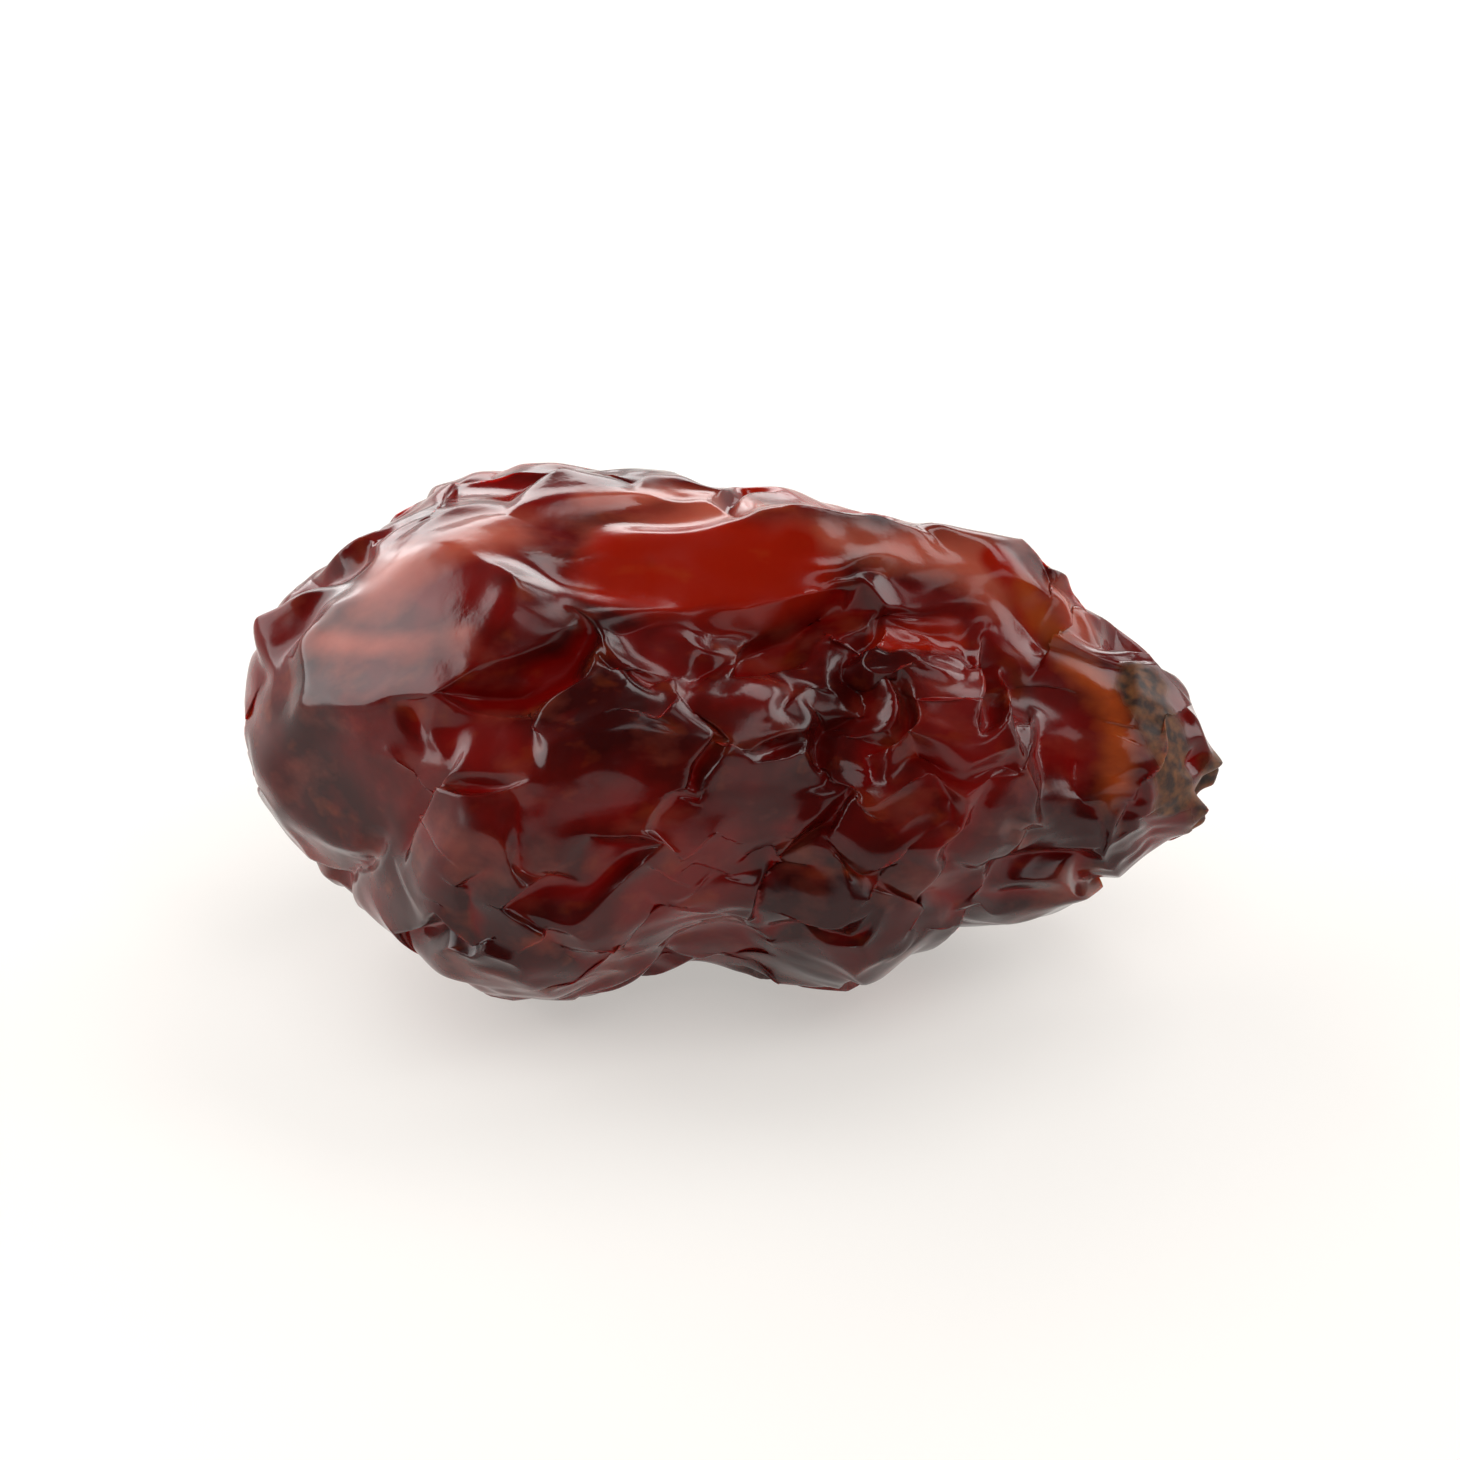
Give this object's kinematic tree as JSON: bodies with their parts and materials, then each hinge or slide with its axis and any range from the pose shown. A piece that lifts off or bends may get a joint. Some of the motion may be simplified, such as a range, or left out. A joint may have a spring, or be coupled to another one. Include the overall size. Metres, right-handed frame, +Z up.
{
  "type": "dried cranberry",
  "caption": "Whole dried cranberry, wrinkled and glossy, with a ragged stem scar at one end, lying on its side on a small flat spot.",
  "frame": {"origin": "middle of the berry's outline seen from above, on the surface it lies on", "axes": "+X along the berry towards the stem scar, +Y away from the wrinkled side, +Z up"},
  "size_m": [0.015, 0.0094, 0.0074],
  "materials": {
    "dried_skin": "leathery dried fruit skin, glossy and slightly sticky, dark crimson to brown, amber where it is thin"
  },
  "bodies": {
    "root": {"cranberry": "dried_skin"}
  },
  "joints": []
}
